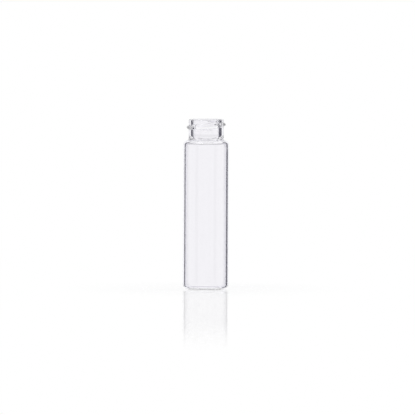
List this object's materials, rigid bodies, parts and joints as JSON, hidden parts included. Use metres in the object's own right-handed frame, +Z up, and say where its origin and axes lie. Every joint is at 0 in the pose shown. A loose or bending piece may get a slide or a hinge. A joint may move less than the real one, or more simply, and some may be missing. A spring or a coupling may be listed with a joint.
{
  "type": "glass sample vial",
  "caption": "Clear glass sample vial with a flat base, straight round body, short shoulder and an open neck with a moulded screw thread for a cap.",
  "frame": {"origin": "middle of the foot's bearing plane, on the vial's axis", "axes": "+Z up along the vial's axis towards the open mouth; +X and +Y across it, with the upper end of the thread just behind the +Y side"},
  "size_m": [0.0168, 0.0168, 0.0626],
  "materials": {
    "glass": "clear colourless glass, fire-polished lip, very slightly wavy wall"
  },
  "bodies": {
    "root": {"vial": "glass"}
  },
  "joints": []
}
